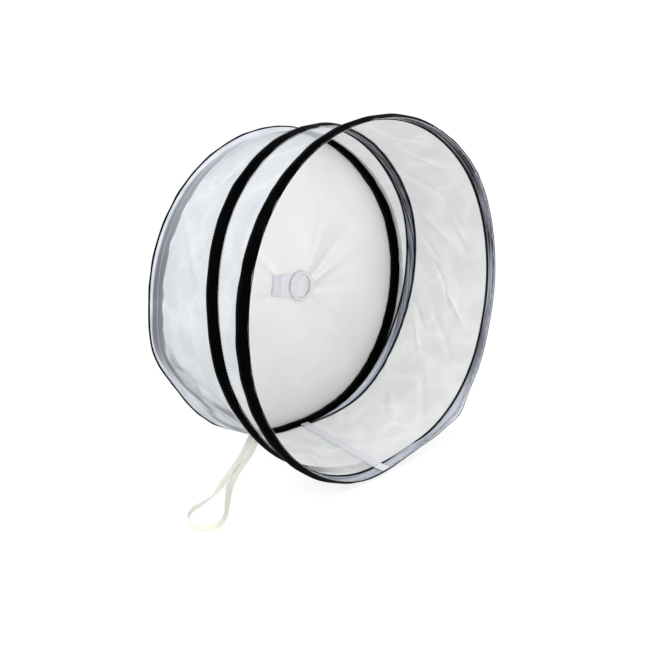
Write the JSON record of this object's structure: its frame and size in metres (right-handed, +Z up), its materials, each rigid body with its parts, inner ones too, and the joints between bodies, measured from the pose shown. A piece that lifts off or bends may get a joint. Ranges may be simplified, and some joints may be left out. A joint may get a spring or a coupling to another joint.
{
  "type": "folding crab trap",
  "caption": "Pop-up mesh drum on a spring-wire coil, open at one end, with a bait ring on its closed end and a storage strap. Its front hoop folds back flat.",
  "frame": {"origin": "on the floor, below the middle of the drum", "axes": "+Y along the drum's axis from its open end to its closed end, +Z up as it stands on its side"},
  "size_m": [0.5424, 0.233, 0.4985],
  "materials": {
    "spring_wire": "oiled spring wire",
    "black_tape": "woven, slight sheen",
    "white_tape": "woven",
    "mesh": "fine see-through net",
    "panel_cloth": "thin cloth, creased",
    "webbing": "ribbed webbing",
    "ring_plastic": "moulded, satin",
    "strap_tape": "flat woven tape"
  },
  "bodies": {
    "net": {"wall_mesh": "mesh", "seam_tape": "white_tape", "back_panel": "panel_cloth", "back_hoop_wire": "spring_wire", "back_wire_ferrule": "spring_wire", "back_hoop_tape": "black_tape", "back_edge_piping": "black_tape", "middle_coil_wire": "spring_wire", "middle_coil_tape": "black_tape", "ring_tab_base": "webbing", "strap_patch": "white_tape", "storage_strap": "strap_tape"},
    "front_hoop": {"front_hoop_wire": "spring_wire", "front_wire_ferrule": "spring_wire", "front_rim_tape": "black_tape", "rim_seam_tab": "white_tape"},
    "ring_tab": {"ring_tab_fold": "webbing"},
    "bait_ring": {"bait_ring": "ring_plastic"}
  },
  "joints": [
    {"name": "collapse", "type": "slide", "parent": "net", "child": "front_hoop", "axis": [0, 1, 0], "range_m": [0, 0.165], "stiffness_N_per_m": 40, "springref_m": -0.08, "deforming": ["wall_mesh", "seam_tape", "middle_coil_wire", "middle_coil_tape"]},
    {"name": "tab_lift", "type": "hinge", "parent": "net", "child": "ring_tab", "pos_m": [-0.02343, 0.113, 0.25196], "axis": [-0.1097, 0, -0.994], "range_deg": [0, 110]},
    {"name": "ring_rock", "type": "hinge", "parent": "ring_tab", "child": "bait_ring", "pos_m": [0.0215, 0.1103, 0.247], "axis": [0.1097, 0, 0.994], "range_deg": [0, 6]}
  ]
}
